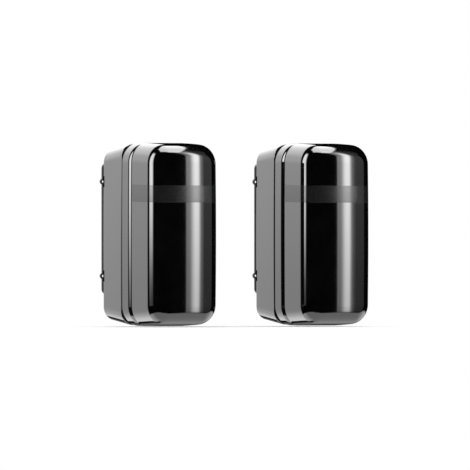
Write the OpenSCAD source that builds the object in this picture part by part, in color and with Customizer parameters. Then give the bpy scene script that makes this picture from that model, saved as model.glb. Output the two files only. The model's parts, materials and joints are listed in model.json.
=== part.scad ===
// Infrared beam barrier: a transmitter and a receiver, alike outside, for walls and posts.
// Each unit's own frame has its front towards -Y, its rear plane at y = 0 and the floor at z = 0.

/* [Pair] */
// Distance between the middles of the two units
unit_pitch = 178; // [130:1:260]

/* [Housing] */
// Width of the front cover
cover_w = 78; // [76:0.5:96]
// Height of the front cover
cover_h = 175; // [150:1:210]
// Depth from the rear plane to the front of the cover
housing_depth = 87; // [76:0.5:110]
// Wall of the cover and of the rear case
wall = 2.5; // [1.8:0.1:3]
// Corner radius of the housing seen from the front
corner_r = 19; // [16:0.5:21]
// Rounding of the cover's front edges
edge_r = 11.5; // [8:0.5:15]

/* [Rear case] */
// Depth of the rear case
case_depth = 33; // [30:0.5:38]
// How much each side of the rear case draws in towards the wall
case_side_draft = 1; // [0.4:0.1:1.6]
// How much the top and the bottom of the rear case draw in towards the wall
case_end_draft = 4.2; // [1:0.1:4.4]
// Chamfer round the back of the rear case
case_chamfer = 2.4; // [1:0.1:3]

/* [Cover rim] */
// How far the rim stands out from the cover's sides
rim_step = 1.5; // [0.8:0.1:2]
// How far the rim stands out from the cover's top and bottom
rim_lift = 0.6; // [0.3:0.1:1.2]
// Depth of the rim
rim_depth = 13; // [9:0.5:14]
// Rounding of the rim's front edge
rim_r = 2.4; // [1.6:0.1:3]
// Seam between the rear case and the cover, filled by the seal
seam = 3; // [1:0.1:3.2]

/* [Trim band] */
// Height of the band
band_h = 16.4; // [10:0.2:20]
// Height of the band's middle above the middle of the unit
band_rise = 39.5; // [20:0.5:45]
// Depth of the band's groove
band_depth = 0.6; // [0.4:0.1:1]

/* [Mounting plate] */
// Thickness of the plate
plate_t = 2; // [1.5:0.1:3]
// Width of the plate
plate_w = 76.6; // [72:0.2:77]
// Height of the plate
plate_h = 125; // [118:1:134]
// Height of the plate's middle above the middle of the unit
plate_rise = 5.5; // [4:0.5:7]
// Distance between the two wall screws
wall_screw_gap = 83.5; // [80:0.5:88]
// Radius of a wall screw's hole
wall_hole_r = 2.25; // [1.8:0.05:2.6]
// Distance between the upper and the lower ears
ear_gap = 90; // [84:0.5:96]
// Radius of an ear's hole
ear_hole_r = 1.3; // [1:0.05:1.5]
// Outer radius of an ear
ear_r = 2.8; // [2.4:0.1:3.2]

/* [Optics] */
// Distance from the rear plane to the pan axis
pan_depth = 48; // [47:0.5:50]
// Height of the tilt axis above the middle of the unit
tilt_rise = 15.9; // [14:0.1:18]
// Width of the optics housing
optics_w = 38; // [34:0.5:39]
// Height inside the cover that the optics housing leaves free
optics_spare = 70; // [68:1:78]
// Share of the depth in front of the pan axis that the optics housing takes
optics_share = 0.526; // [0.47:0.002:0.55]
// From the pan axis to the back of the optics housing
optics_back = 12; // [10:0.5:13]
// Radius of a lens's dome at its rim
lens_r = 15; // [12:0.5:16]
// Radius of the pan and tilt bearings' pins
pin_r = 2.95; // [2.5:0.05:3.5]

/* [Electronics] */
// Thickness of the main board
board_t = 1.6; // [1.2:0.1:2]
// Gap between the rear wall and the main board
board_gap = 9.5; // [8:0.5:11]
// Number of terminals
terminal_count = 6; // [4:1:6]
// Distance between terminals
terminal_pitch = 6; // [5:0.1:6]
// Travel left in the tamper plunger when the cover is on
plunger_travel = 1; // [0.6:0.1:1.2]
// Radius of the cable's way through the grommet
cable_r = 4; // [3:0.1:5]

/* [Hidden] */
$fn = 64;
// Segments of the rounded housing forms
soft_fn = 40;
// Thickness of a section that a rounded form is drawn over
hull_t = 0.1;
// Side of the pair on which a unit stands
TX = -1;
RX = 1;
// Overrun of every cut
over = 1;
// Clearance of a screw or a pin in its hole
pin_gap = 0.05;
// Gap between pieces that pass each other
pass_gap = 0.4;

// Housing
rim_w = cover_w + 2 * rim_step;
rim_h = cover_h + 2 * rim_lift;
mid_z = rim_h / 2;
front_y = -housing_depth;
seam_y = -case_depth;
cover_y = seam_y - seam;
rim_y = cover_y - rim_depth;
inner_w = cover_w - 2 * wall;
inner_h = cover_h - 2 * wall;
inner_r = corner_r - wall;
case_inset = 1;
case_w = rim_w - 2 * case_inset;
case_h = rim_h - 2 * case_inset;
case_rear_w = case_w - 2 * case_side_draft;
case_rear_h = case_h - 2 * case_end_draft;

// Lip of the rear case that the cover slips over
lip_gap = 0.3;
lip_t = 1.6;
lip_reach = 4;
lip_w = inner_w - 2 * lip_gap;
lip_h = inner_h - 2 * lip_gap;
lip_r = inner_r - lip_gap;
cavity_w = lip_w - 2 * lip_t;
cavity_h = case_rear_h - 2 * wall;
cavity_r = lip_r - lip_t;

// Seal in the seam
seal_inset = 0.5;
seal_gap = 0.2;

// Band
band_z = mid_z + band_rise;
band_setback = 1.5;
band_rear_y = rim_y - band_setback;
band_gap = 0.05;

// Cover screw
screw_y = cover_y - rim_depth / 2;
cover_screw_r = 1.45;
cover_head_r = 3;
cover_head_h = 1.4;
washer_t = 0.6;
head_sink = 0.2;
lug_w = 11;
lug_top = 12;
lug_past = 5;
lug_front = screw_y - lug_past;
lug_gap = 0.4;
slot_w = 0.7;
slot_d = 0.8;

// Plate
plate_z = mid_z + plate_rise;
plate_r = 5;
ear_in = 0.7;
ear_x = plate_w / 2 - ear_in;
notch_h = 10.5;
notch_d = 3.2;
notch_in = 0.4;
notch_x = ear_x - ear_hole_r - notch_in;
window_w = 30;
window_h = 26;
window_r = 6;
plate_screw_x = 28;
plate_screw_gap = 100;
plate_screw_r = 1.45;
plate_head_r = 2.8;
plate_head_h = 1.8;
pocket_r = 5.5;
pocket_d = 3.5;
pocket_wall = 2;

// Cable grommet
entry_drop = 16;
entry_z = mid_z - entry_drop;
entry_r = 7;
grommet_lip_r = 9.5;
grommet_lip_t = 1.5;

// Main board
board_w = 62;
board_bottom = 14;
board_over_plate = 40.4;
board_top = plate_z + board_over_plate;
board_back_y = -wall - board_gap;
board_front_y = board_back_y - board_t;
board_post_x = 26;
board_foot_in = 8;
board_head_in = 6;
board_post_z = [board_bottom + board_foot_in, board_top - board_head_in];
board_post_r = 3.5;
board_screw_r = 1.2;
board_head_r = 2.4;
board_head_h = 1.4;

// Terminal block and its screws
terminal_w = terminal_count * terminal_pitch;
terminal_z = 16;
terminal_h = 10;
terminal_d = 10.4;
terminal_bore_r = 2;
terminal_bore_d = 3;
terminal_screw_h = 2;
wire_way_h = 4;
wire_way_w = 4.4;

// Other parts on the board
mode_w = 12;
mode_h = 5;
mode_d = 3.6;
mode_drop = 18;
mode_z = board_top - mode_drop;
lever_w = 1.2;
lever_h = 1.6;
lever_d = 0.8;
lever_count = 4;
led_r = 1.5;
led_x = 25;
led_z = 33;
led_d = 6;
coil_w = 20;
coil_h = 15;
coil_d = 6;
coil_z = 76;

// Tamper switch
tamper_x = -27;
tamper_z = 34;
tamper_w = 7;
tamper_h = 6;
tamper_d = 15;
plunger_r = 1.5;
plunger_in = 3.5;
plunger_gap = 0.1;
plunger_y = cover_y + plunger_gap;
rib_d = 14;
rib_h = 5;
rib_in = 12;
rib_gap = 0.6;

// Chassis
chassis_w = 44;
chassis_t = 2;
chassis_bottom = 42;
chassis_head_gap = 10.2;
chassis_top = rim_h - chassis_head_gap;
chassis_gap = 6.9;
chassis_y = board_front_y - chassis_gap;
chassis_front_y = chassis_y - chassis_t;
chassis_post_in = 5;
chassis_post_x = chassis_w / 2 - chassis_post_in;
chassis_end_in = 8;
chassis_post_z = [chassis_bottom + chassis_end_in, chassis_top - chassis_end_in];
chassis_post_r = 4;
chassis_screw_r = 1.45;
chassis_head_r = 2.8;
chassis_head_h = 1.6;
board_clear_r = 5;
arm_w = 18;
arm_reach = 8;
pan_y = -pan_depth;

// Pan frame
frame_bottom = chassis_bottom + chassis_t + pass_gap;
frame_top = chassis_top - chassis_t - pass_gap;
frame_t = 2;
frame_bar_t = 2.5;
frame_d = 8;
frame_gap = 1.5;
frame_w = optics_w + 2 * frame_gap + 2 * frame_t;
tilt_z = mid_z + tilt_rise;
optics_h = inner_h - optics_spare;
dial_r = 16;
dial_t = 3;
dial_notches = 24;
dial_notch_r = 0.7;

// Optics housing
optics_front = optics_share * (housing_depth - pan_depth);
optics_wall = 2.5;
lens_rise = optics_h / 4;
lens_w = optics_w - 2 * optics_wall;
lens_split = 2;
lens_ledge = 1.5;
lens_h = optics_h / 2 - 2 * optics_wall - lens_split;
lens_t = 2;
lens_gap = 0.15;
dome_rise = 4;
dome_r = (lens_r * lens_r + dome_rise * dome_rise) / (2 * dome_rise);
barrel_w = lens_w - 2 * lens_ledge;
barrel_h = lens_h - 2 * lens_ledge;
pivot_in = 8;
pivot_head_r = 4;
pivot_head_t = 1;
pivot_gap = 0.2;
sight_front = 5;
sight_h = 6;
sight_in = 7;
sight_back = 6;
sight_d = optics_front - sight_back - sight_front;
mirror_t = 1;
chip_board_w = 20;
chip_board_t = 1.6;
chip_r = 2.5;
chip_d = 6;
chip_way_r = 3;

// Colours
case_tone = [0.13, 0.13, 0.14];
cover_tone = [0.05, 0.05, 0.06];
band_tone = [0.2, 0.2, 0.21];
seal_tone = [0.03, 0.03, 0.03];
steel_tone = [0.72, 0.73, 0.75];
plate_tone = [0.24, 0.25, 0.27];
board_tone = [0.08, 0.32, 0.16];
chassis_tone = [0.3, 0.31, 0.33];
frame_tone = [0.86, 0.86, 0.84];
lens_tone = [0.75, 0.82, 0.88, 0.5];
optics_tone = [0.1, 0.1, 0.11];
mirror_tone = [0.85, 0.87, 0.9];
chip_tone = [0.2, 0.15, 0.3];

// Puts a unit on its side of the pair
module place(side) {
    translate([side * unit_pitch / 2, (housing_depth - plate_t) / 2, 0])
        children();
}

// Rectangle with round corners, about its middle
module rounded_rect(w, h, r) {
    square([w - 2 * r, h], center = true);
    square([w, h - 2 * r], center = true);
    for (x = [-1, 1])
        for (y = [-1, 1])
            translate([x * (w / 2 - r), y * (h / 2 - r)])
                circle(r);
}

// Prism of the housing's front view, from the depth y_back forward to y_front
module front_prism(w, h, r, y_back, y_front) {
    translate([0, y_back, mid_z])
        rotate([90, 0, 0])
            linear_extrude(y_back - y_front)
                rounded_rect(w, h, r);
}

// Disc about the Y axis with a full round rim
module round_puck(r, edge) {
    rotate([90, 0, 0])
        rotate_extrude()
            intersection() {
                translate([r - edge, 0])
                    circle(edge);
                translate([0, -r])
                    square(2 * r);
            }
}

// Block with corners of radius r in its front view and one rounding all round its front
module rounded_block(w, h, r, y_back, y_front, edge) {
    hull() {
        front_prism(w, h, r, y_back, y_front + edge, $fn = soft_fn);
        for (x = [-1, 1])
            for (z = [-1, 1])
                translate([x * (w / 2 - r), y_front + edge, mid_z + z * (h / 2 - r)])
                    round_puck(r, edge, $fn = soft_fn);
    }
}

// Outline seen from above: straight sides and round front corners
module top_outline(w, y_front, r) {
    translate([-w / 2, y_front + r])
        square([w, -y_front - r]);
    translate([r - w / 2, y_front])
        square([w - 2 * r, r + over]);
    for (x = [-1, 1])
        translate([x * (w / 2 - r), y_front + r])
            circle(r);
}

// Cylinder along Y, from the depth y_back forward to y_front
module rod_y(r, y_back, y_front) {
    translate([0, y_back, 0])
        rotate([90, 0, 0])
            cylinder(h = y_back - y_front, r = r);
}

// Block between two depths, about x = 0
module slab(w, y_back, y_front, z_low, z_high) {
    translate([-w / 2, y_front, z_low])
        cube([w, y_back - y_front, z_high - z_low]);
}

// Tapered outer form of the rear case
module case_form() {
    rear_r = corner_r - case_side_draft;
    hull() {
        front_prism(case_w, case_h, corner_r, seam_y + hull_t, seam_y, $fn = soft_fn);
        front_prism(case_rear_w, case_rear_h, rear_r, -case_chamfer, -case_chamfer - hull_t,
            $fn = soft_fn);
        front_prism(case_rear_w - case_chamfer, case_rear_h - case_chamfer,
            rear_r - case_chamfer / 2, -case_chamfer / 4, -case_chamfer, $fn = soft_fn);
        front_prism(case_rear_w - 2 * case_chamfer, case_rear_h - 2 * case_chamfer,
            rear_r - case_chamfer, 0, -hull_t, $fn = soft_fn);
    }
}

module rear_case() {
    color(case_tone)
    difference() {
        union() {
            difference() {
                union() {
                    case_form();
                    front_prism(lip_w, lip_h, lip_r, seam_y + over, cover_y - lip_reach);
                }
                front_prism(cavity_w, cavity_h, cavity_r, -wall, cover_y - lip_reach - over);
            }
            case_posts();
            slab(lug_w, seam_y + over, lug_front, mid_z - lip_h / 2 + lug_gap, lug_top);
            for (z = [-1, 1])
                translate([0, 0, plate_z + z * wall_screw_gap / 2])
                    rod_y(pocket_r + pocket_wall, -wall / 2, -pocket_d - wall);
        }
        for (z = [-1, 1])
            translate([0, 0, plate_z + z * wall_screw_gap / 2])
                rod_y(pocket_r, over, -pocket_d);
        for (x = [-1, 1])
            for (z = [-1, 1]) {
                translate([x * plate_screw_x, 0, plate_z + z * plate_screw_gap / 2])
                    rod_y(plate_screw_r + pin_gap, over, -wall - over);
                translate([x > 0 ? notch_x : -notch_x - notch_h, -notch_d,
                        plate_z + z * ear_gap / 2 - notch_h / 2])
                    cube([notch_h, notch_d + over, notch_h]);
            }
        translate([0, 0, entry_z])
            rod_y(entry_r, over, -wall - over);
        translate([0, screw_y, -over])
            cylinder(h = lug_top + 2 * over, r = cover_screw_r + pin_gap);
    }
}

// Posts in the rear case that carry the board and the chassis
module case_posts() {
    for (x = [-1, 1]) {
        for (z = board_post_z)
            translate([x * board_post_x, 0, z])
                difference() {
                    rod_y(board_post_r, -wall / 2, board_back_y);
                    rod_y(board_screw_r + pin_gap, -wall, board_back_y - over);
                }
        for (z = chassis_post_z)
            translate([x * chassis_post_x, 0, z])
                difference() {
                    rod_y(chassis_post_r, -wall / 2, chassis_y);
                    rod_y(chassis_screw_r + pin_gap, board_back_y, chassis_y - over);
                }
    }
}

module mounting_plate() {
    color(plate_tone)
    difference() {
        union() {
            translate([0, plate_t, plate_z])
                rotate([90, 0, 0])
                    linear_extrude(plate_t)
                        rounded_rect(plate_w, plate_h, plate_r);
            for (x = [-1, 1])
                for (z = [-1, 1])
                    translate([x * ear_x, 0, plate_z + z * ear_gap / 2])
                        rod_y(ear_r, plate_t, 0);
        }
        for (z = [-1, 1]) {
            translate([0, 0, plate_z + z * wall_screw_gap / 2])
                rod_y(wall_hole_r, plate_t + over, -over);
            for (x = [-1, 1]) {
                translate([x * ear_x, 0, plate_z + z * ear_gap / 2])
                    rod_y(ear_hole_r, plate_t + over, -over);
                translate([x * plate_screw_x, 0, plate_z + z * plate_screw_gap / 2])
                    rod_y(plate_screw_r + pin_gap, plate_t + over, -over);
            }
        }
        translate([0, plate_t + over, entry_z])
            rotate([90, 0, 0])
                linear_extrude(plate_t + 2 * over)
                    rounded_rect(window_w, window_h, window_r);
    }
}

module case_seal() {
    color(seal_tone)
    difference() {
        front_prism(case_w - 2 * seal_inset, case_h - 2 * seal_inset, corner_r - seal_inset,
            seam_y, cover_y);
        front_prism(lip_w + 2 * seal_gap, lip_h + 2 * seal_gap, lip_r + seal_gap,
            seam_y + over, cover_y - over);
    }
}

module front_cover() {
    color(cover_tone)
    difference() {
        union() {
            difference() {
                union() {
                    rounded_block(cover_w, cover_h, corner_r, cover_y, front_y, edge_r);
                    rounded_block(rim_w, rim_h, corner_r + rim_step / 2, cover_y, rim_y, rim_r);
                }
                rounded_block(inner_w, inner_h, inner_r, cover_y + over, front_y + wall,
                    edge_r - wall);
            }
            tamper_rib();
        }
        band_ring(0, band_depth, 0, over);
        translate([0, screw_y, -over])
            cylinder(h = wall + rim_lift + 2 * over, r = cover_screw_r + pin_gap);
        translate([0, screw_y, -over])
            cylinder(h = over + head_sink + cover_head_h + washer_t, r = cover_head_r + lip_gap);
    }
}

// Rib inside the cover that keeps the tamper plunger in, stepped round the rear case's lip
module tamper_rib() {
    lip_front_y = cover_y - lip_reach - rib_gap;
    stem_x = rib_gap - cavity_w / 2;
    translate([-inner_w / 2 - wall / 2, cover_y - rib_d, tamper_z - rib_h / 2])
        cube([rib_in + wall / 2, lip_front_y - cover_y + rib_d, rib_h]);
    translate([stem_x, cover_y - rib_d, tamper_z - rib_h / 2])
        cube([rib_in - inner_w / 2 - stem_x, rib_d, rib_h]);
}

// Strip round the cover between two depths under its skin, cut off behind the band's rear ends
module band_ring(skin, depth, end_gap, spare) {
    translate([0, 0, band_z - band_h / 2 + end_gap])
        linear_extrude(band_h - 2 * end_gap)
            difference() {
                top_outline(cover_w - 2 * skin + 2 * spare, front_y + skin - spare,
                    edge_r - skin + spare);
                top_outline(cover_w - 2 * depth, front_y + depth, edge_r - depth);
                translate([-cover_w, band_rear_y + end_gap])
                    square([2 * cover_w, housing_depth]);
            }
}

module trim_band() {
    color(band_tone)
        difference() {
            band_ring(band_gap, band_depth - band_gap, band_gap, 0);
            translate([-cover_w, band_rear_y - band_gap, 0])
                cube([2 * cover_w, housing_depth, rim_h]);
        }
}

module cover_screw() {
    color(steel_tone)
    translate([0, screw_y, head_sink])
        difference() {
            union() {
                cylinder(h = cover_head_h, r = cover_head_r);
                cylinder(h = lug_top - head_sink - over, r = cover_screw_r);
            }
            translate([-cover_head_r, -slot_w / 2, -over])
                cube([2 * cover_head_r, slot_w, over + slot_d]);
        }
}

module screw_washer() {
    color(seal_tone)
    translate([0, screw_y, head_sink + cover_head_h])
        difference() {
            cylinder(h = washer_t, r = cover_head_r);
            translate([0, 0, -over])
                cylinder(h = washer_t + 2 * over, r = cover_screw_r + pin_gap);
        }
}

// Screw along Y with a slotted head on its front
module slotted_screw(r, head_r, head_h, y_tip, y_seat) {
    difference() {
        union() {
            rod_y(r, y_tip, y_seat);
            rod_y(head_r, y_seat, y_seat - head_h);
        }
        translate([-head_r, y_seat - head_h - over, -slot_w / 2])
            cube([2 * head_r, over + slot_d, slot_w]);
    }
}

module plate_screws() {
    color(steel_tone)
    for (x = [-1, 1])
        for (z = [-1, 1])
            translate([x * plate_screw_x, 0, plate_z + z * plate_screw_gap / 2])
                slotted_screw(plate_screw_r, plate_head_r, plate_head_h, plate_t, -wall);
}

module cable_grommet() {
    color(seal_tone)
    translate([0, 0, entry_z])
        difference() {
            union() {
                rod_y(grommet_lip_r, grommet_lip_t, 0);
                rod_y(entry_r - pin_gap, over / 2, -wall - over / 2);
                rod_y(grommet_lip_r, -wall, -wall - grommet_lip_t);
            }
            rod_y(cable_r, grommet_lip_t + over, -wall - grommet_lip_t - over);
        }
}

module main_board() {
    color(board_tone)
    difference() {
        slab(board_w, board_back_y, board_front_y, board_bottom, board_top);
        for (x = [-1, 1]) {
            for (z = board_post_z)
                translate([x * board_post_x, 0, z])
                    rod_y(board_screw_r + pin_gap, board_back_y + over, board_front_y - over);
            translate([x * chassis_post_x, 0, chassis_post_z[0]])
                rod_y(board_clear_r, board_back_y + over, board_front_y - over);
        }
    }
}

module board_screws() {
    color(steel_tone)
    for (x = [-1, 1])
        for (z = board_post_z)
            translate([x * board_post_x, 0, z])
                slotted_screw(board_screw_r, board_head_r, board_head_h, -wall - over, board_front_y);
}

module terminal_block() {
    top_y = board_front_y - terminal_d;
    color("darkgreen")
    difference() {
        slab(terminal_w, board_front_y, top_y, terminal_z, terminal_z + terminal_h);
        for (i = [0 : terminal_count - 1])
            translate([(i + 0.5) * terminal_pitch - terminal_w / 2, 0, 0]) {
                translate([0, 0, terminal_z + terminal_h / 2])
                    rod_y(terminal_bore_r, top_y + terminal_bore_d, top_y - over);
                translate([-wire_way_w / 2, board_front_y - wire_way_h - over, terminal_z - over])
                    cube([wire_way_w, wire_way_h, terminal_h / 2 + over]);
            }
    }
}

module terminal_screws() {
    seat_y = board_front_y - terminal_d + terminal_bore_d;
    color(steel_tone)
    for (i = [0 : terminal_count - 1])
        translate([(i + 0.5) * terminal_pitch - terminal_w / 2, 0, terminal_z + terminal_h / 2])
            difference() {
                rod_y(terminal_bore_r - pin_gap, seat_y, seat_y - terminal_screw_h);
                translate([-terminal_bore_r, seat_y - terminal_screw_h - over, -slot_w / 2])
                    cube([2 * terminal_bore_r, over + slot_d, slot_w]);
            }
}

module mode_switch() {
    color("firebrick")
    difference() {
        slab(mode_w, board_front_y, board_front_y - mode_d, mode_z, mode_z + mode_h);
        for (i = [0 : lever_count - 1])
            translate([(i + 0.5) * mode_w / lever_count - mode_w / 2, 0, mode_z + mode_h / 2])
                slab(lever_w, board_front_y - mode_d + lever_d, board_front_y - mode_d - over,
                    -lever_h, lever_h);
    }
}

module status_led() {
    color("red")
    translate([led_x, 0, led_z]) {
        rod_y(led_r, board_front_y, board_front_y - led_d + led_r);
        translate([0, board_front_y - led_d + led_r, 0])
            sphere(led_r);
    }
}

module board_can() {
    color("dimgray")
        slab(coil_w, board_front_y, board_front_y - coil_d, coil_z, coil_z + coil_h);
}

module tamper_switch() {
    body_front_y = board_front_y - tamper_d;
    color("black")
    translate([tamper_x, 0, tamper_z])
        difference() {
            slab(tamper_w, board_front_y, body_front_y, -tamper_h / 2, tamper_h / 2);
            rod_y(plunger_r + pin_gap, body_front_y + plunger_in + plunger_travel + over,
                body_front_y - over);
        }
}

module tamper_plunger() {
    color("white")
    translate([tamper_x, 0, tamper_z])
        rod_y(plunger_r, board_front_y - tamper_d + plunger_in, plunger_y);
}

module chassis() {
    color(chassis_tone)
    difference() {
        union() {
            slab(chassis_w, chassis_y, chassis_front_y, chassis_bottom, chassis_top);
            for (z = [chassis_bottom, chassis_top - chassis_t])
                slab(arm_w, chassis_y - chassis_t / 2, pan_y - arm_reach, z, z + chassis_t);
        }
        translate([0, pan_y, chassis_bottom - over])
            cylinder(h = chassis_top - chassis_bottom + 2 * over, r = pin_r + pin_gap);
        for (x = [-1, 1])
            for (z = chassis_post_z)
                translate([x * chassis_post_x, 0, z])
                    rod_y(chassis_screw_r + pin_gap, chassis_y + over, chassis_front_y - over);
    }
}

module chassis_screws() {
    color(steel_tone)
    for (x = [-1, 1])
        for (z = chassis_post_z)
            translate([x * chassis_post_x, 0, z])
                slotted_screw(chassis_screw_r, chassis_head_r, chassis_head_h, board_back_y,
                    chassis_front_y);
}

module pan_frame() {
    color(frame_tone) {
        difference() {
            slab(frame_w, pan_y + frame_d / 2, pan_y - frame_d / 2, frame_bottom, frame_top);
            slab(frame_w - 2 * frame_t, pan_y + frame_d, pan_y - frame_d,
                frame_bottom + frame_bar_t, frame_top - frame_bar_t);
            translate([-frame_w, pan_y, tilt_z])
                rotate([0, 90, 0])
                    cylinder(h = 2 * frame_w, r = pin_r + pin_gap);
        }
        translate([0, pan_y, frame_top - over])
            cylinder(h = chassis_t + pass_gap + over, r = pin_r);
        translate([0, pan_y, chassis_bottom - pass_gap - dial_t])
            cylinder(h = frame_bottom - chassis_bottom + pass_gap + dial_t + over, r = pin_r);
    }
}

module pan_dial() {
    color("orange")
    translate([0, pan_y, chassis_bottom - pass_gap - dial_t])
        difference() {
            cylinder(h = dial_t, r = dial_r);
            translate([0, 0, -over])
                cylinder(h = dial_t + 2 * over, r = pin_r + pin_gap);
            for (i = [0 : dial_notches - 1])
                rotate([0, 0, i * 360 / dial_notches])
                    translate([dial_r, 0, -over])
                        cylinder(h = dial_t + 2 * over, r = dial_notch_r, $fn = 16);
        }
}

// Both lens places of the optics housing
module lens_places() {
    for (z = [-1, 1])
        translate([0, 0, tilt_z + z * lens_rise])
            children();
}

module optics_housing() {
    optics_y = pan_y - optics_front;
    back_y = pan_y + optics_back;
    color(optics_tone)
    difference() {
        slab(optics_w, back_y, optics_y, tilt_z - optics_h / 2, tilt_z + optics_h / 2);
        lens_places() {
            slab(lens_w, optics_y + lens_t, optics_y - over, -lens_h / 2, lens_h / 2);
            slab(barrel_w, back_y - optics_wall, optics_y - over, -barrel_h / 2, barrel_h / 2);
            rod_y(chip_way_r, back_y + over, back_y - optics_wall - over);
        }
        for (x = [-1, 1]) {
            translate([x > 0 ? optics_w / 2 - pivot_in : -optics_w / 2 - over, pan_y, tilt_z])
                rotate([0, 90, 0])
                    cylinder(h = pivot_in + over, r = pin_r + pin_gap);
            translate([x > 0 ? optics_w / 2 - sight_in : -optics_w / 2 - over,
                    pan_y - sight_back - sight_d, tilt_z - sight_h / 2])
                cube([sight_in + over, sight_d, sight_h]);
        }
    }
}

module tilt_pivots() {
    color(steel_tone)
    for (x = [-1, 1])
        translate([0, pan_y, tilt_z])
            rotate([0, x * 90, 0]) {
                translate([0, 0, optics_w / 2 - pivot_in])
                    cylinder(h = pivot_in + frame_gap + frame_t + pivot_gap, r = pin_r);
                translate([0, 0, frame_w / 2 + pivot_gap])
                    cylinder(h = pivot_head_t, r = pivot_head_r);
            }
}

module lens(z) {
    plate_y = pan_y - optics_front + lens_t;
    color(lens_tone)
    translate([0, 0, tilt_z + z * lens_rise]) {
        slab(lens_w - 2 * lens_gap, plate_y, plate_y - lens_t, lens_gap - lens_h / 2,
            lens_h / 2 - lens_gap);
        intersection() {
            translate([0, plate_y - lens_t - dome_rise + dome_r, 0])
                rotate([90, 0, 0])
                    sphere(dome_r, $fn = 96);
            rod_y(lens_r + over, plate_y - lens_t / 2, plate_y - lens_t - dome_rise - over);
        }
    }
}

module sight_mirrors() {
    color(mirror_tone)
    for (x = [-1, 1])
        translate([x > 0 ? optics_w / 2 - sight_in : sight_in - optics_w / 2 - mirror_t,
                pan_y - sight_back - sight_d + lens_gap, tilt_z - sight_h / 2 + lens_gap])
            cube([mirror_t, sight_d - 2 * lens_gap, sight_h - 2 * lens_gap]);
}

module chip_boards() {
    back_y = pan_y + optics_back;
    color(board_tone)
    lens_places()
        slab(chip_board_w, back_y + chip_board_t, back_y, -chip_board_w / 2, chip_board_w / 2);
}

module chips() {
    back_y = pan_y + optics_back;
    color(chip_tone)
    lens_places() {
        rod_y(chip_r, back_y, back_y - chip_d);
        translate([0, back_y - chip_d, 0])
            sphere(chip_r);
    }
}

place(TX) mounting_plate();  // tx_mounting_plate
place(TX) rear_case();  // tx_rear_case
place(TX) case_seal();  // tx_case_seal
place(TX) front_cover();  // tx_front_cover
place(TX) trim_band();  // tx_trim_band
place(TX) cover_screw();  // tx_cover_screw
place(TX) screw_washer();  // tx_screw_washer
place(TX) plate_screws();  // tx_plate_screws
place(TX) cable_grommet();  // tx_cable_grommet
place(TX) main_board();  // tx_main_board
place(TX) board_screws();  // tx_board_screws
place(TX) terminal_block();  // tx_terminal_block
place(TX) terminal_screws();  // tx_terminal_screws
place(TX) mode_switch();  // tx_mode_switch
place(TX) status_led();  // tx_status_led
place(TX) tamper_switch();  // tx_tamper_switch
place(TX) tamper_plunger();  // tx_tamper_plunger
place(TX) board_can();  // tx_driver_coil
place(TX) chassis();  // tx_chassis
place(TX) chassis_screws();  // tx_chassis_screws
place(TX) pan_frame();  // tx_pan_frame
place(TX) pan_dial();  // tx_pan_dial
place(TX) optics_housing();  // tx_optics_housing
place(TX) tilt_pivots();  // tx_tilt_pivots
place(TX) lens(1);  // tx_upper_lens
place(TX) lens(-1);  // tx_lower_lens
place(TX) sight_mirrors();  // tx_sight_mirrors
place(TX) chip_boards();  // tx_emitter_boards
place(TX) chips();  // tx_emitters

place(RX) mounting_plate();  // rx_mounting_plate
place(RX) rear_case();  // rx_rear_case
place(RX) case_seal();  // rx_case_seal
place(RX) front_cover();  // rx_front_cover
place(RX) trim_band();  // rx_trim_band
place(RX) cover_screw();  // rx_cover_screw
place(RX) screw_washer();  // rx_screw_washer
place(RX) plate_screws();  // rx_plate_screws
place(RX) cable_grommet();  // rx_cable_grommet
place(RX) main_board();  // rx_main_board
place(RX) board_screws();  // rx_board_screws
place(RX) terminal_block();  // rx_terminal_block
place(RX) terminal_screws();  // rx_terminal_screws
place(RX) mode_switch();  // rx_mode_switch
place(RX) status_led();  // rx_status_led
place(RX) tamper_switch();  // rx_tamper_switch
place(RX) tamper_plunger();  // rx_tamper_plunger
place(RX) board_can();  // rx_alarm_relay
place(RX) chassis();  // rx_chassis
place(RX) chassis_screws();  // rx_chassis_screws
place(RX) pan_frame();  // rx_pan_frame
place(RX) pan_dial();  // rx_pan_dial
place(RX) optics_housing();  // rx_optics_housing
place(RX) tilt_pivots();  // rx_tilt_pivots
place(RX) lens(1);  // rx_upper_lens
place(RX) lens(-1);  // rx_lower_lens
place(RX) sight_mirrors();  // rx_sight_mirrors
place(RX) chip_boards();  // rx_detector_boards
place(RX) chips();  // rx_detectors
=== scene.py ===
import json
import math

import bpy
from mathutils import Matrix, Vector


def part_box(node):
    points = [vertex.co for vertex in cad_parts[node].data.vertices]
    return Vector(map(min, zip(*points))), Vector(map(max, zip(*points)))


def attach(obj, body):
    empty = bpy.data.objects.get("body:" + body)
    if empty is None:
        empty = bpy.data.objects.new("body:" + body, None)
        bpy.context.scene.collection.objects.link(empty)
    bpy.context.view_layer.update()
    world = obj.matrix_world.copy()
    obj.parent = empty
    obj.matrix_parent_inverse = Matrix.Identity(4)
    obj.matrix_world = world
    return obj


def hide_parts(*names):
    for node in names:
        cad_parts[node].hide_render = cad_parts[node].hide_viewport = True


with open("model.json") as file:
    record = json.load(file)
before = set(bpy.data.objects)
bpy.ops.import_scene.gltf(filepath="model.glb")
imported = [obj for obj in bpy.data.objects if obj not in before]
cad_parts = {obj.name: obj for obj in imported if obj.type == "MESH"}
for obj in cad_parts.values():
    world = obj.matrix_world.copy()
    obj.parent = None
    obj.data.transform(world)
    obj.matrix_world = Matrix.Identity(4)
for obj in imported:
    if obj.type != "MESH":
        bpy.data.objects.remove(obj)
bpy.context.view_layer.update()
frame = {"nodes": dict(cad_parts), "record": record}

MM = 0.001
DEGREES = 180 / math.pi
UNITS = ("tx", "rx")

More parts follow.
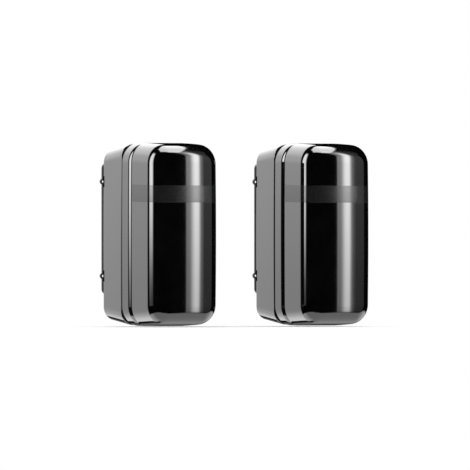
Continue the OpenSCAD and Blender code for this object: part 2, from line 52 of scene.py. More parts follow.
# Places and sizes taken from the transmitter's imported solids, with depths from the rear case's back
cover_low, cover_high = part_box("tx_front_cover")
case_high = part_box("tx_rear_case")[1]
plate_low, plate_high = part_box("tx_mounting_plate")
band_low, band_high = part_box("tx_trim_band")
screw_low, screw_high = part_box("tx_cover_screw")
washer_low, washer_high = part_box("tx_screw_washer")
unit_x = (cover_low.x + cover_high.x) / 2
wall_y = case_high.y
middle_z = (cover_low.z + cover_high.z) / 2
rim_w = cover_high.x - cover_low.x
front_y = cover_low.y - wall_y
cover_rear_y = cover_high.y - wall_y
plate_middle_z = (plate_low.z + plate_high.z) / 2

# Cover; end_play is how much shorter than its solid it is drawn at each end
end_play = 0.9 * MM
rim_h = cover_high.z - cover_low.z - 2 * end_play
rim_step = 1.5 * MM
rim_lift = 0.05 * MM
rim_depth = 13 * MM
rim_round = 6 * MM
rim_slope = math.radians(32)
cover_w = rim_w - 2 * rim_step
cover_h = rim_h - 2 * rim_lift
corner_r = 18 * MM
rim_corner_r = corner_r + rim_step / 2
edge_r = 10.5 * MM
front_bow = 1.6 * MM
crown = 0.5 * MM
blend_start = 6 * MM
blend_slope = 0.044
taper_start_y = -46 * MM
taper_ease = 10 * MM
end_taper = 0.06
rear_taper = 0.016
skin_wall = 2.5 * MM
cavity_front_share = 0.84
fine_edge = 0.15 * MM

# Rear case
seam = 3 * MM
case_inset = 1 * MM
case_end_inset = 0.7 * MM
case_side_draft = 1 * MM
case_end_draft = 4.2 * MM
case_chamfer = 2.4 * MM
case_front_r = 1 * MM
case_w = rim_w - 2 * case_inset
case_h = rim_h - 2 * case_end_inset
case_cavity_shares = (0.97, 0.94)
case_corner_r = 14 * MM
case_front_y = cover_rear_y + seam
notch_x = 35.9 * MM
notch_h = 10.5 * MM
notch_d = 3.2 * MM
ear_gap = 90 * MM

# Cover screw; its head, washer and well sit end_play higher than their solids, as the cover's underside does
screw_y = (screw_low.y + screw_high.y) / 2 - wall_y
screw_head_r = (screw_high.x - screw_low.x) / 2
screw_head_h = washer_low.z - screw_low.z
screw_r = 1.45 * MM
screw_slot_w = 0.7 * MM
screw_slot_d = 0.8 * MM
screw_hole_r = screw_r + 0.05 * MM
screw_hole_top = rim_step + skin_wall + 3 * end_play
well_r = screw_head_r + 0.3 * MM

# Band
band_depth = 0.6 * MM
band_rear_y = band_high.y - wall_y
band_sink = 0.05 * MM
band_gap = 2 * MM

# How finely the meshes are cut, and the tolerances for picking faces and edges
corner_segments = 24
edge_segments = 20
rim_stations = 8
slices_across = 17
slices_along = 15
slices_at_ends = 8
slices_in_depth = 7
case_front_stations = 6
case_back_stations = 8
case_slices = 9
disc_sides = 48
bevel_segments = 2
face_weight = 100
over = 1 * MM
touch = MM / 10
merge_gap = 1e-7
facing = 0.9
sharp_angle = math.radians(32)
smooth_angle = math.radians(40)

# Finishes
coat_rough = 0.03
tone_low, tone_high = 0.35, 0.65
fine_grain_times = 6
fine_detail = 5
relief_height = MM / 4
lens_clearness = 0.9
lens_ior = 1.49

# Studio: camera, lamp, floor and the plain light that falls on everything but the gloss
view_turn = math.radians(-35)
camera_distance = 18.0
frame_width = 449.3 * MM
aim = Vector((-1.7 * MM, wall_y - 40.8 * MM, 87.64 * MM))
sensor_width = 36
lamp_place = (-0.9, -0.9, 1.6)
lamp_width = 1.4
lamp_power = 20
floor_r = 0.7
floor_sides = 96
floor_tone = 0.9
floor_rough = 0.8
shadow_r = 0.1
white_r = 0.2
plain_level = 0.72
plain_slope = 0.18

# Lights that the gloss mirrors. A span is where a light comes up, or goes down where its first number is
# the larger one, and a window has four. Heights, turns and pitches are in degrees, the rest in parts of a
# direction of length one.
below_span = (0.02, -0.02)
horizon = (-2.0, 2.0)

# White sweep behind the pair
wall_span = (0.60, 0.72)
wall_level = 1.55
wall_dim, wall_lift, wall_least = 0.62, 0.38, 0.72
wall_mid_span, wall_mid_level = (3, 12), 0.25
wall_high_span, wall_high_level = (21, 34), 0.5
wall_low_span, wall_low_level = (-18, -34), 0.65
wall_back_span, wall_back_level, wall_back_more = (0.835, 0.88), 0.1, 0.2
wall_end_below = (0.12, 0.04)
wall_end_above = (0.565, 0.53)

# Pale floor round the pair, with a painted contact shadow where each unit stands
floor_level, floor_more, floor_pitch_span = 0.15, 0.75, (20, 75)
floor_left_span, floor_left_window, floor_left_level = (0.2, -0.1), (-0.3, 0.4, 0.62, 0.70), 0.9
floor_right_span, floor_right_level = (0.62, 0.9), 0.6
# Painted contact shadow: the window and span of directions where the floor that the gloss sees goes dark
# under a unit
contact_shadow_window, contact_shadow_span = (0.04, 0.12, 0.22, 0.34), (0.1, 0.3)
floor_middle = 0.574
floor_near_slope, floor_far_slope, floor_far_drop, floor_right_slope = 0.8, 0.3, 0.2, 0.4
floor_start_span = (0.06, 0.15)

# Upright soft box to the left
left_window, left_level = (-21, -12, 10, 27), 6.0
left_least, left_more, left_foot_span = 0.05, 0.95, (-1.5, 1.3)
left_top_span = (62, 48)

# Narrow upright soft box in front
right_lean = 0.13
body_window, body_level = (0.5635, 0.5685, 0.616, 0.642), 1.2
core_window, core_level = (0.578, 0.604, 0.613, 0.626), 4.6
tail_window, tail_level = (0.5635, 0.5685, 0.663, 0.682), 0.25
core_top_span = (44, 12)
sink_level, sink_more = 0.56, 0.57
top_span, top_level = (70, 25), 0.5
base_span, base_level = (14, 3), 0.4
body_least = 0.1
right_front_span = (-0.2, -0.5)
boxes_foot_span = (-7, -3)

# Soft box overhead
overhead_level = 4.6
overhead_low, overhead_low_slope = 87, 50
overhead_high, overhead_high_slope = 121, 31
overhead_soft = 3
overhead_right, overhead_curve, overhead_middle = 0.5725, 0.00001, 85
overhead_right_span, overhead_left_span = (0.001, -0.003), (-0.15, -0.03)
overhead_rise_span = (0.1, 0.3)


def clear_selection():
    """Leaves every object unselected, in object mode."""
    if bpy.context.object and bpy.context.object.mode != "OBJECT":
        bpy.ops.object.mode_set(mode="OBJECT")
    bpy.ops.object.select_all(action="DESELECT")


def work_on(piece):
    """Makes one piece the only selected and active object."""
    clear_selection()
    piece.select_set(True)
    bpy.context.view_layer.objects.active = piece


def choose(piece, kind, test):
    """Selects the faces or edges of a piece that pass a test on their place, and stays in edit mode."""
    bpy.ops.object.mode_set(mode="EDIT")
    bpy.ops.mesh.select_mode(type=kind)
    bpy.ops.mesh.select_all(action="DESELECT")
    bpy.ops.object.mode_set(mode="OBJECT")
    mesh = piece.data
    if kind == "FACE":
        for face in mesh.polygons:
            face.select = test(face.center, face.normal)
    else:
        for edge in mesh.edges:
            a, b = (mesh.vertices[i].co for i in edge.vertices)
            edge.select = test(a, b)
    bpy.ops.object.mode_set(mode="EDIT")


def outline_face(name, width, height, radius, y):
    """New flat face with round corners, seen from the front, as the start of a piece."""
    clear_selection()
    bpy.ops.mesh.primitive_plane_add(size=1, location=(0, y, middle_z), rotation=(math.pi / 2, 0, 0))
    piece = bpy.context.object
    piece.name = name
    bpy.ops.object.transform_apply(location=True, rotation=True, scale=True)
    bpy.ops.object.mode_set(mode="EDIT")
    bpy.ops.mesh.select_all(action="SELECT")
    bpy.ops.transform.resize(value=(width, 1, height), center_override=(0, y, middle_z))
    bpy.ops.mesh.bevel(offset=radius, segments=corner_segments, affect="VERTICES")
    return piece


def extrude_to(y_from, y_to, grow_x=1, grow_z=1):
    """Extrudes the selected face along the depth and scales its new end about the unit's middle."""
    bpy.ops.mesh.extrude_region_move(TRANSFORM_OT_translate={"value": (0, y_to - y_from, 0)})
    bpy.ops.transform.resize(value=(grow_x, 1, grow_z), center_override=(0, y_to, middle_z))


def follow(profile, width, height):
    """Extrudes the selected face through stations of depth, side inset and end inset."""
    y, old_w, old_h = profile[0][0], width - 2 * profile[0][1], height - 2 * profile[0][2]
    for new_y, side, end in profile[1:]:
        new_w, new_h = width - 2 * side, height - 2 * end
        extrude_to(y, new_y, new_w / old_w, new_h / old_h)
        y, old_w, old_h = new_y, new_w, new_h


def slice_at(place, normal):
    """Cuts a new edge loop through the whole edited piece along a plane."""
    bpy.ops.mesh.select_all(action="SELECT")
    bpy.ops.mesh.bisect(plane_co=place, plane_no=normal)


def steps(low, high, count):
    """Evenly spaced values between two limits, both included."""
    return [low + (high - low) * i / (count - 1) for i in range(count)]


def point_outwards():
    """Merges doubles and turns every face of the edited piece outwards."""
    bpy.ops.mesh.select_all(action="SELECT")
    bpy.ops.mesh.remove_doubles(threshold=merge_gap)
    bpy.ops.mesh.normals_make_consistent(inside=False)


def soften(piece):
    """Rounds a piece's sharp edges a little and shades its round faces smooth."""
    work_on(piece)
    bpy.ops.object.modifier_add(type="BEVEL")
    bevel = piece.modifiers[-1]
    bevel.width = fine_edge
    bevel.segments = bevel_segments
    bevel.limit_method = "ANGLE"
    bevel.angle_limit = sharp_angle
    bpy.ops.object.modifier_apply(modifier=bevel.name)
    bpy.ops.object.shade_smooth_by_angle(angle=smooth_angle)
    bpy.ops.object.modifier_add(type="WEIGHTED_NORMAL")
    weighted = piece.modifiers[-1]
    weighted.keep_sharp = True
    weighted.weight = face_weight
    bpy.ops.object.modifier_apply(modifier=weighted.name)


def swell(piece):
    """Gives the moulding its gentle crown: sides and ends drawn in and a bowed front."""
    half_w, half_h = cover_w / 2, cover_h / 2
    blend = blend_slope / (2 * blend_start)
    for vertex in piece.data.vertices:
        across = vertex.co.x / half_w
        rise = vertex.co.z - middle_z
        along = rise / half_h
        ahead = max(0, taper_start_y - vertex.co.y)
        behind = max(0, vertex.co.y - taper_start_y)
        past = max(0, abs(rise) - half_h + edge_r + blend_start)
        vertex.co.x *= 1 - crown / half_w * along * along
        vertex.co.z -= along * end_taper * ahead * ahead / (ahead + taper_ease)
        vertex.co.z -= along * rear_taper * behind
        if vertex.co.y < front_y + edge_r + over:
            vertex.co.y += front_bow * across * across + crown * along * along + blend * past * past


def place_on_units(piece, name, replaced):
    """Copies a piece modelled at a unit's middle to both units and lets each copy stand for its solid."""
    made = []
    for unit in UNITS:
        work_on(piece)
        bpy.ops.object.duplicate(linked=False)
        copy = bpy.context.object
        copy.name = f"{unit}_{name}"
        side = 1 if unit == "rx" else -1
        copy.location = (side * abs(unit_x), wall_y, 0)
        bpy.ops.object.transform_apply(location=True, rotation=True, scale=True)
        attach(copy, "housing")
        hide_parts(f"{unit}_{replaced}")
        made.append(copy)
    work_on(piece)
    bpy.ops.object.delete()
    return made


def rim_profile():
    """Stations of depth, side inset and end inset from the cover's rear, over its rim, to its front."""
    slope_depth = (rim_step - rim_round * (1 - math.cos(rim_slope))) / math.tan(rim_slope)
    rim_end_y = cover_rear_y - rim_depth
    flat_end_y = rim_end_y + rim_round * math.sin(rim_slope) + slope_depth
    profile = [(cover_rear_y, 0, 0)]
    for turn in steps(0, rim_slope, rim_stations):
        drop = rim_round * (1 - math.cos(turn))
        profile.append((flat_end_y - rim_round * math.sin(turn), drop, drop * rim_lift / rim_step))
    profile.append((rim_end_y, rim_step, rim_lift))
    profile.append((front_y, rim_step, rim_lift))
    return profile


def slice_cover():
    """Cuts the edited skin fine enough to be bowed, and along the band's edges."""
    flat_x = cover_w / 2 - corner_r
    for x in steps(-flat_x, flat_x, slices_across):
        slice_at((x, 0, 0), (1, 0, 0))
    flat_z = cover_h / 2 - corner_r
    band_ends = (band_low.z - band_sink, band_high.z + band_sink)
    for z in steps(middle_z - flat_z, middle_z + flat_z, slices_along):
        if min(abs(z - end) for end in band_ends) > band_gap:
            slice_at((0, 0, z), (0, 0, 1))
    for rise in steps(flat_z, cover_h / 2 - edge_r, slices_at_ends)[1:]:
        slice_at((0, 0, middle_z + rise), (0, 0, 1))
        slice_at((0, 0, middle_z - rise), (0, 0, 1))
    for z in band_ends:
        slice_at((0, 0, z), (0, 0, 1))
    slice_at((0, band_rear_y + band_sink, 0), (0, 1, 0))
    for y in steps(taper_start_y, front_y + edge_r, slices_in_depth)[:-1]:
        slice_at((0, y, 0), (0, 1, 0))


def model_cover_skin():
    """Outer skin of the cover: rim, sides and the rounded, bowed front."""
    skin = outline_face("cover_skin", rim_w, rim_h, rim_corner_r, cover_rear_y)
    follow(rim_profile(), rim_w, rim_h)
    choose(skin, "EDGE", lambda a, b: max(a.y, b.y) < front_y + touch)
    bpy.ops.mesh.bevel(offset=edge_r, segments=edge_segments, affect="EDGES")
    slice_cover()
    bpy.ops.object.mode_set(mode="OBJECT")
    swell(skin)
    bpy.ops.object.mode_set(mode="EDIT")
    point_outwards()
    return skin


def on_band(centre, normal):
    """True for the skin's faces that lie under the band."""
    return band_low.z - touch < centre.z < band_high.z + touch and centre.y < band_rear_y


def model_band(skin):
    """Band cut from a copy of the cover's skin and given its thickness."""
    choose(skin, "FACE", on_band)
    bpy.ops.mesh.duplicate()
    bpy.ops.mesh.separate(type="SELECTED")
    bpy.ops.object.mode_set(mode="OBJECT")
    band = [o for o in bpy.context.selected_objects if o != skin][0]
    band.name = "band"
    work_on(band)
    bpy.ops.object.modifier_add(type="SOLIDIFY")
    solid = band.modifiers[-1]
    solid.thickness = band_depth - 2 * band_sink
    solid.offset = -1
    bpy.ops.object.modifier_apply(modifier=solid.name)
    return band


def sink_band_groove(skin):
    """Presses the band's groove into the cover's skin."""
    work_on(skin)
    choose(skin, "FACE", on_band)
    bpy.ops.mesh.extrude_region_shrink_fatten(TRANSFORM_OT_shrink_fatten={"value": -band_depth})


def hollow_out(piece, rear_y, rim_wall, stops):
    """Insets the flat rear of a piece and pushes it in, one stop after another."""
    choose(piece, "FACE", lambda centre, normal: centre.y > rear_y - touch and normal.y > facing)
    bpy.ops.mesh.dissolve_faces()
    bpy.ops.mesh.inset(thickness=rim_wall)
    y = rear_y
    for stop, share in stops:
        extrude_to(y, stop, share, share)
        y = stop


def cut_away(piece, cutter):
    """Takes a cutter's space out of a piece and removes the cutter."""
    work_on(piece)
    bpy.ops.object.modifier_add(type="BOOLEAN")
    cut = piece.modifiers[-1]
    cut.operation = "DIFFERENCE"
    cut.solver = "EXACT"
    cut.object = cutter
    bpy.ops.object.modifier_apply(modifier=cut.name)
    work_on(cutter)
    bpy.ops.object.delete()


def upright_disc(name, radius, low, high):
    """New round piece on the cover screw's axis, between two heights."""
    clear_selection()
    bpy.ops.mesh.primitive_cylinder_add(vertices=disc_sides, radius=radius, depth=high - low,
        location=(0, screw_y, (low + high) / 2))
    disc = bpy.context.object
    disc.name = name
    bpy.ops.object.transform_apply(location=True, rotation=True, scale=True)
    return disc


def model_cover_screw():
    """Cover screw: shank drawn up from a slotted head."""
    head_low = screw_low.z + end_play
    screw = upright_disc("screw", screw_head_r, head_low, head_low + screw_head_h)
    choose(screw, "FACE", lambda centre, normal: normal.z > facing)
    bpy.ops.mesh.inset(thickness=screw_head_r - screw_r)
    shank_h = screw_high.z - head_low - screw_head_h
    bpy.ops.mesh.extrude_region_move(TRANSFORM_OT_translate={"value": (0, 0, shank_h)})
    clear_selection()
    bpy.ops.mesh.primitive_cube_add(size=1, location=(0, screw_y, head_low))
    slot_cutter = bpy.context.object
    slot_cutter.scale = (3 * screw_head_r, screw_slot_w, 2 * screw_slot_d)
    cut_away(screw, slot_cutter)
    soften(screw)
    return screw


def model_screw_washer():
    """Rubber washer between the screw's head and the cover."""
    low, high = washer_low.z + end_play, washer_high.z + end_play
    washer = upright_disc("washer", screw_head_r, low, high)
    cut_away(washer, upright_disc("washer_hole", screw_hole_r, low - over, high + over))
    soften(washer)
    return washer


def model_cover():
    """The cover's shell and its band."""
    skin = model_cover_skin()
    band = model_band(skin)
    sink_band_groove(skin)
    inner_y = front_y + skin_wall
    hollow_out(skin, cover_rear_y, rim_step + skin_wall,
        [(inner_y + edge_r / 2, 1), (inner_y + front_bow + over, cavity_front_share)])
    point_outwards()
    bpy.ops.object.mode_set(mode="OBJECT")
    cut_away(skin, upright_disc("well", well_r, -over, washer_high.z + end_play))
    cut_away(skin, upright_disc("screw_hole", screw_hole_r, 0, screw_hole_top))
    soften(skin)
    soften(band)
    return skin, band


def case_profile():
    """Stations of depth, side inset and end inset from the case's rounded front to its chamfered back."""
    profile = []
    for turn in steps(math.pi / 2, 0, case_front_stations):
        drop = case_front_r * (1 - math.cos(turn))
        profile.append((case_front_y + case_front_r * (1 - math.sin(turn)), drop, drop))
    for turn in steps(0, math.pi / 2, case_back_stations):
        drop = case_chamfer * (1 - math.cos(turn))
        y = case_chamfer * (math.sin(turn) - 1)
        profile.append((y, case_side_draft + drop, case_end_draft + drop))
    return profile


def model_case():
    """The rear case: tapered towards the wall, chamfered at the back and notched round the ears."""
    front_w = case_w - 2 * case_front_r
    front_h = case_h - 2 * case_front_r
    case = outline_face("case", front_w, front_h, case_corner_r - case_front_r, case_front_y)
    follow(case_profile(), case_w, case_h)
    flat_z = cover_h / 2 - corner_r
    for z in steps(middle_z - flat_z, middle_z + flat_z, case_slices):
        slice_at((0, 0, z), (0, 0, 1))
    bpy.ops.object.mode_set(mode="OBJECT")
    swell(case)
    bpy.ops.object.mode_set(mode="EDIT")
    point_outwards()
    choose(case, "FACE", lambda centre, normal: centre.y < case_front_y + touch and normal.y < -facing)
    bpy.ops.mesh.dissolve_faces()
    bpy.ops.mesh.inset(thickness=skin_wall + rim_step - case_front_r)
    extrude_to(case_front_y, -skin_wall, *case_cavity_shares)
    point_outwards()
    bpy.ops.object.mode_set(mode="OBJECT")
    cut_notches(case)
    soften(case)
    return case


def cut_notches(case):
    """Cuts the four square notches that leave room round the plate's ears."""
    for side in (-1, 1):
        for rise in (-1, 1):
            clear_selection()
            x = side * (notch_x + notch_h / 2)
            z = plate_middle_z + rise * ear_gap / 2
            bpy.ops.mesh.primitive_cube_add(size=1, location=(x, over - notch_d / 2, z))
            cutter = bpy.context.object
            cutter.scale = (notch_h, notch_d + 2 * over, notch_h)
            cut_away(case, cutter)


def new_material(name):
    """Empty node material and its principled shader."""
    material = bpy.data.materials.new(name)
    material.use_nodes = True
    shader = material.node_tree.nodes["Principled BSDF"]
    return material, shader


def add_node(material, kind, **values):
    """Adds a node and sets the inputs named."""
    made = material.node_tree.nodes.new(kind)
    for key, value in values.items():
        made.inputs[key.replace("_", " ")].default_value = value
    return made


def join(material, source, output, target, socket):
    """Links one node's output to another's input."""
    material.node_tree.links.new(source.outputs[output], target.inputs[socket])


def noise(material, scale, detail=3):
    """Noise on the piece's own coordinates."""
    place = add_node(material, "ShaderNodeTexCoord")
    pattern = add_node(material, "ShaderNodeTexNoise", Scale=scale, Detail=detail)
    join(material, place, "Object", pattern, "Vector")
    return pattern


def vary_colour(material, shader, pattern, dark, light):
    """Colour that wanders between two near tones."""
    ramp = add_node(material, "ShaderNodeValToRGB")
    ramp.color_ramp.elements[0].position = tone_low
    ramp.color_ramp.elements[1].position = tone_high
    ramp.color_ramp.elements[0].color = (*dark, 1)
    ramp.color_ramp.elements[1].color = (*light, 1)
    join(material, pattern, "Fac", ramp, "Fac")
    join(material, ramp, "Color", shader, "Base Color")


def vary_roughness(material, shader, pattern, low, high):
    """Roughness that wanders between two values."""
    span = add_node(material, "ShaderNodeMapRange", To_Min=low, To_Max=high)
    join(material, pattern, "Fac", span, "Value")
    join(material, span, "Result", shader, "Roughness")


def add_bump(material, shader, pattern, strength, distance):
    """Fine relief from a pattern."""
    bump = add_node(material, "ShaderNodeBump", Strength=strength, Distance=distance)
    join(material, pattern, "Fac", bump, "Height")
    join(material, bump, "Normal", shader, "Normal")


def finish_look(name, dark, light, rough, grain, relief=0.02, metal=0, coat=0, level=0.5):
    """Material with a wandering tone, a wandering gloss and a fine relief."""
    material, shader = new_material(name)
    shader.inputs["Metallic"].default_value = metal
    shader.inputs["Coat Weight"].default_value = coat
    shader.inputs["Coat Roughness"].default_value = coat_rough
    shader.inputs["Specular IOR Level"].default_value = level
    pattern = noise(material, grain)
    vary_colour(material, shader, pattern, dark, light)
    vary_roughness(material, shader, pattern, rough[0], rough[1])
    if relief:
        fine = noise(material, grain * fine_grain_times, fine_detail)
        add_bump(material, shader, fine, relief, relief_height)
    return material


def gloss_black():
    """Deep gloss black of the cover and the case."""
    return finish_look("gloss_black", dark=(0.0012, 0.0012, 0.0013), light=(0.0022, 0.0022, 0.0024),
        rough=(0.03, 0.05), grain=60, relief=0, coat=1, level=1)


def satin_band():
    """Slightly lighter, slightly softer black of the band."""
    return finish_look("satin_band", dark=(0.008, 0.008, 0.0085), light=(0.011, 0.011, 0.0115),
        rough=(0.1, 0.14), grain=300, relief=0.01, coat=0.55, level=0.8)


LOOKS = {
    "plate_steel": dict(dark=(0.010, 0.010, 0.011), light=(0.02, 0.02, 0.021), rough=(0.35, 0.5),
        grain=500, relief=0.15),
    "seal_rubber": dict(dark=(0.004, 0.004, 0.004), light=(0.009, 0.009, 0.009), rough=(0.6, 0.8),
        grain=700, relief=0.2),
    "screw_steel": dict(dark=(0.5, 0.5, 0.52), light=(0.66, 0.66, 0.68), rough=(0.22, 0.36),
        grain=900, relief=0.1, metal=1),
    "circuit_board": dict(dark=(0.01, 0.09, 0.035), light=(0.018, 0.14, 0.055), rough=(0.3, 0.42),
        grain=400, relief=0.08, coat=0.4),
    "terminal_green": dict(dark=(0.02, 0.2, 0.08), light=(0.03, 0.26, 0.1), rough=(0.4, 0.5),
        grain=600, relief=0.08),
    "switch_red": dict(dark=(0.42, 0.02, 0.015), light=(0.52, 0.03, 0.02), rough=(0.3, 0.4),
        grain=700, relief=0.05),
    "switch_black": dict(dark=(0.015, 0.015, 0.015), light=(0.025, 0.025, 0.025), rough=(0.4, 0.55),
        grain=700, relief=0.1),
    "led_red": dict(dark=(0.5, 0.01, 0.01), light=(0.62, 0.02, 0.02), rough=(0.08, 0.14),
        grain=500, relief=0, coat=0.5),
    "plunger_white": dict(dark=(0.72, 0.72, 0.7), light=(0.8, 0.8, 0.78), rough=(0.35, 0.45),
        grain=800, relief=0.05),
    "can_grey": dict(dark=(0.05, 0.05, 0.055), light=(0.07, 0.07, 0.075), rough=(0.4, 0.5),
        grain=600, relief=0.08),
    "chassis_grey": dict(dark=(0.2, 0.205, 0.215), light=(0.26, 0.265, 0.275), rough=(0.4, 0.52),
        grain=350, relief=0.12),
    "frame_white": dict(dark=(0.68, 0.68, 0.65), light=(0.75, 0.75, 0.72), rough=(0.38, 0.48),
        grain=500, relief=0.06),
    "dial_orange": dict(dark=(0.62, 0.2, 0.03), light=(0.72, 0.26, 0.045), rough=(0.38, 0.48),
        grain=500, relief=0.06),
    "optics_black": dict(dark=(0.01, 0.01, 0.011), light=(0.02, 0.02, 0.022), rough=(0.45, 0.6),
        grain=500, relief=0.12),
    "sight_mirror": dict(dark=(0.86, 0.87, 0.88), light=(0.92, 0.93, 0.94), rough=(0.02, 0.05),
        grain=300, relief=0, metal=1),
    "chip_dark": dict(dark=(0.03, 0.015, 0.06), light=(0.05, 0.03, 0.09), rough=(0.1, 0.16),
        grain=500, relief=0, coat=0.6),
}


def clear_lens():
    """Clear moulded lens with faint flow marks."""
    material = finish_look("clear_lens", dark=(0.9, 0.93, 0.95), light=(0.95, 0.97, 0.98),
        rough=(0.02, 0.05), grain=200, relief=0)
    shader = material.node_tree.nodes["Principled BSDF"]
    shader.inputs["Transmission Weight"].default_value = lens_clearness
    shader.inputs["IOR"].default_value = lens_ior
    return material


def dress_solids(looks):
    """Gives every kept solid the finish of its slot in the record."""
    slots = {part["node"]: part["material_slot"] for part in frame["record"]["subparts"]}
    for name, solid in frame["nodes"].items():
        solid.data.materials.clear()
        solid.data.materials.append(looks[slots[name]])


def model_pieces(looks):
    """Makes the housing pieces that stand for plainer solids and dresses them."""
    skin, band = model_cover()
    case = model_case()
    for piece, name, slot, replaced in (
        (skin, "cover_shell", "cover_gloss", "front_cover"),
        (band, "band_strip", "band_satin", "trim_band"),
        (case, "case_shell", "case_black", "rear_case"),
        (model_cover_screw(), "seated_screw", "screw_steel", "cover_screw"),
        (model_screw_washer(), "seated_washer", "seal_rubber", "screw_washer"),
    ):
        for copy in place_on_units(piece, name, replaced):
            copy.data.materials.clear()
            copy.data.materials.append(looks[slot])


def pale_floor():
    """Floor's material: a plain pale surface near the pair, white light further out."""
    material, shader = new_material("pale_floor")
    nodes, links = material.node_tree.nodes, material.node_tree.links
    shader.inputs["Base Color"].default_value = (floor_tone, floor_tone, floor_tone, 1)
    shader.inputs["Roughness"].default_value = floor_rough
    shader.inputs["Specular IOR Level"].default_value = 0
    white = nodes.new("ShaderNodeEmission")
    place = nodes.new("ShaderNodeTexCoord")
    length = nodes.new("ShaderNodeVectorMath")
    length.operation = "LENGTH"
    fade = nodes.new("ShaderNodeMapRange")
    fade.interpolation_type = "SMOOTHSTEP"
    fade.inputs["From Min"].default_value = shadow_r
    fade.inputs["From Max"].default_value = white_r
    mix = nodes.new("ShaderNodeMixShader")
    links.new(place.outputs["Object"], length.inputs[0])
    links.new(length.outputs["Value"], fade.inputs["Value"])
    links.new(fade.outputs["Result"], mix.inputs["Fac"])
    links.new(shader.outputs["BSDF"], mix.inputs[1])
    links.new(white.outputs["Emission"], mix.inputs[2])
    links.new(mix.outputs["Shader"], nodes["Material Output"].inputs["Surface"])
    return material


def model_floor():
    """Pale floor that keeps the shadow near the pair and fades to white further out."""
    clear_selection()
    bpy.ops.mesh.primitive_circle_add(vertices=floor_sides, radius=floor_r, fill_type="NGON",
        location=(0, 0, 0))
    floor = bpy.context.object
    floor.name = "studio_floor"
    floor.data.materials.append(pale_floor())
    floor.visible_glossy = False


class Sky:
    """Strings math nodes together in the world's tree."""

    def __init__(self, tree):
        self.tree = tree

    def feed(self, node, socket, value):
        """Sets a socket to a number or links it to another node's output."""
        if isinstance(value, (int, float)):
            node.inputs[socket].default_value = value
        else:
            self.tree.links.new(value, node.inputs[socket])

    def math(self, operation, a, b=0):
        """One math node's output."""
        node = self.tree.nodes.new("ShaderNodeMath")
        node.operation = operation
        self.feed(node, 0, a)
        self.feed(node, 1, b)
        return node.outputs[0]

    def plus(self, a, b):
        """Sum of two values."""
        return self.math("ADD", a, b)

    def times(self, a, b):
        """Product of two values."""
        return self.math("MULTIPLY", a, b)

    def rise(self, value, low, high):
        """Smooth step from 0 to 1 between two limits; it falls where the limits are swapped."""
        node = self.tree.nodes.new("ShaderNodeMapRange")
        node.interpolation_type = "SMOOTHSTEP"
        self.feed(node, "Value", value)
        if low < high:
            node.inputs["From Min"].default_value = low
            node.inputs["From Max"].default_value = high
            return node.outputs["Result"]
        node.inputs["From Min"].default_value = high
        node.inputs["From Max"].default_value = low
        node.inputs["To Min"].default_value = 1
        node.inputs["To Max"].default_value = 0
        return node.outputs["Result"]

    def window(self, value, low, full_low, full_high, high):
        """1 between the full limits, 0 outside the outer ones."""
        return self.times(self.rise(value, low, full_low), self.rise(value, high, full_high))

    def angle(self, opposite, adjacent):
        """Angle of a direction in degrees."""
        return self.times(self.math("ARCTAN2", opposite, adjacent), DEGREES)


def studio_brightness(sky, x, y, z):
    """What the gloss sees; x, y and z are the parts of a direction of length one."""
    height = sky.times(sky.math("ARCSINE", z), DEGREES)
    below = sky.rise(z, *below_span)
    room = sky.plus(wall_light(sky, x, y, height, below), floor_light(sky, x, y, z))
    overhead = sky.times(overhead_box(sky, x, y, z), overhead_level)
    boxes = sky.plus(side_boxes(sky, x, y, z, height), overhead)
    return sky.plus(room, boxes)


def wall_light(sky, x, y, height, below):
    """White sweep behind the pair, cut off towards the right."""
    fall = sky.plus(wall_dim, sky.times(sky.rise(height, *horizon), wall_lift))
    fall = sky.math("MAXIMUM", wall_least, fall)
    middle = sky.times(sky.rise(height, *wall_mid_span), wall_mid_level)
    high = sky.times(sky.rise(height, *wall_high_span), wall_high_level)
    low = sky.times(sky.rise(height, *wall_low_span), wall_low_level)
    back = sky.plus(wall_back_level, sky.times(below, wall_back_more))
    back = sky.times(sky.rise(y, *wall_back_span), back)
    level = sky.plus(sky.times(fall, wall_level), sky.plus(middle, high))
    level = sky.plus(level, sky.plus(low, back))
    end_low = sky.times(below, sky.rise(x, *wall_end_below))
    end_high = sky.times(sky.plus(1, sky.times(below, -1)), sky.rise(x, *wall_end_above))
    return sky.times(sky.times(sky.rise(y, *wall_span), level), sky.plus(end_low, end_high))


def floor_light(sky, x, y, z):
    """Pale floor, bright to the left, with a painted contact shadow where the unit stands."""
    down = sky.times(z, -1)
    pitch = sky.angle(down, y)
    front = sky.plus(floor_level, sky.times(sky.rise(pitch, *floor_pitch_span), floor_more))
    left = sky.times(sky.rise(x, *floor_left_span), sky.window(y, *floor_left_window))
    left = sky.times(left, floor_left_level)
    right = sky.times(sky.rise(x, *floor_right_span), floor_right_level)
    level = sky.plus(front, sky.plus(left, right))
    # Painted contact shadow: the floor's light is taken away within the unit's footprint
    foot = sky.times(sky.window(x, *contact_shadow_window), sky.rise(y, *contact_shadow_span))
    start = sky.rise(sky.plus(down, floor_slant(sky, x)), *floor_start_span)
    return sky.times(sky.times(start, level), sky.plus(1, sky.times(foot, -1)))


def floor_slant(sky, x):
    """How far the floor's start drops away to both sides of the front's middle."""
    off = sky.plus(x, -floor_middle)
    far = sky.plus(sky.times(off, floor_far_slope), -floor_far_drop)
    leftward = sky.math("MAXIMUM", sky.times(off, floor_near_slope), far)
    rightward = sky.times(sky.math("MAXIMUM", off, 0), -floor_right_slope)
    return sky.plus(sky.math("MINIMUM", leftward, 0), rightward)


def side_boxes(sky, x, y, z, height):
    """Upright soft boxes: one to the left and a narrow one in front."""
    left = left_box(sky, x, y, height)
    right = front_box(sky, x, y, z, height)
    return sky.times(sky.plus(left, right), sky.rise(height, *boxes_foot_span))


def left_box(sky, x, y, height):
    """Upright soft box to the left, weaker below the horizon."""
    turn = sky.angle(sky.times(y, -1), sky.times(x, -1))
    fade = sky.plus(left_least, sky.times(sky.rise(height, *left_foot_span), left_more))
    box = sky.times(sky.times(sky.window(turn, *left_window), left_level), fade)
    return sky.times(box, sky.rise(height, *left_top_span))


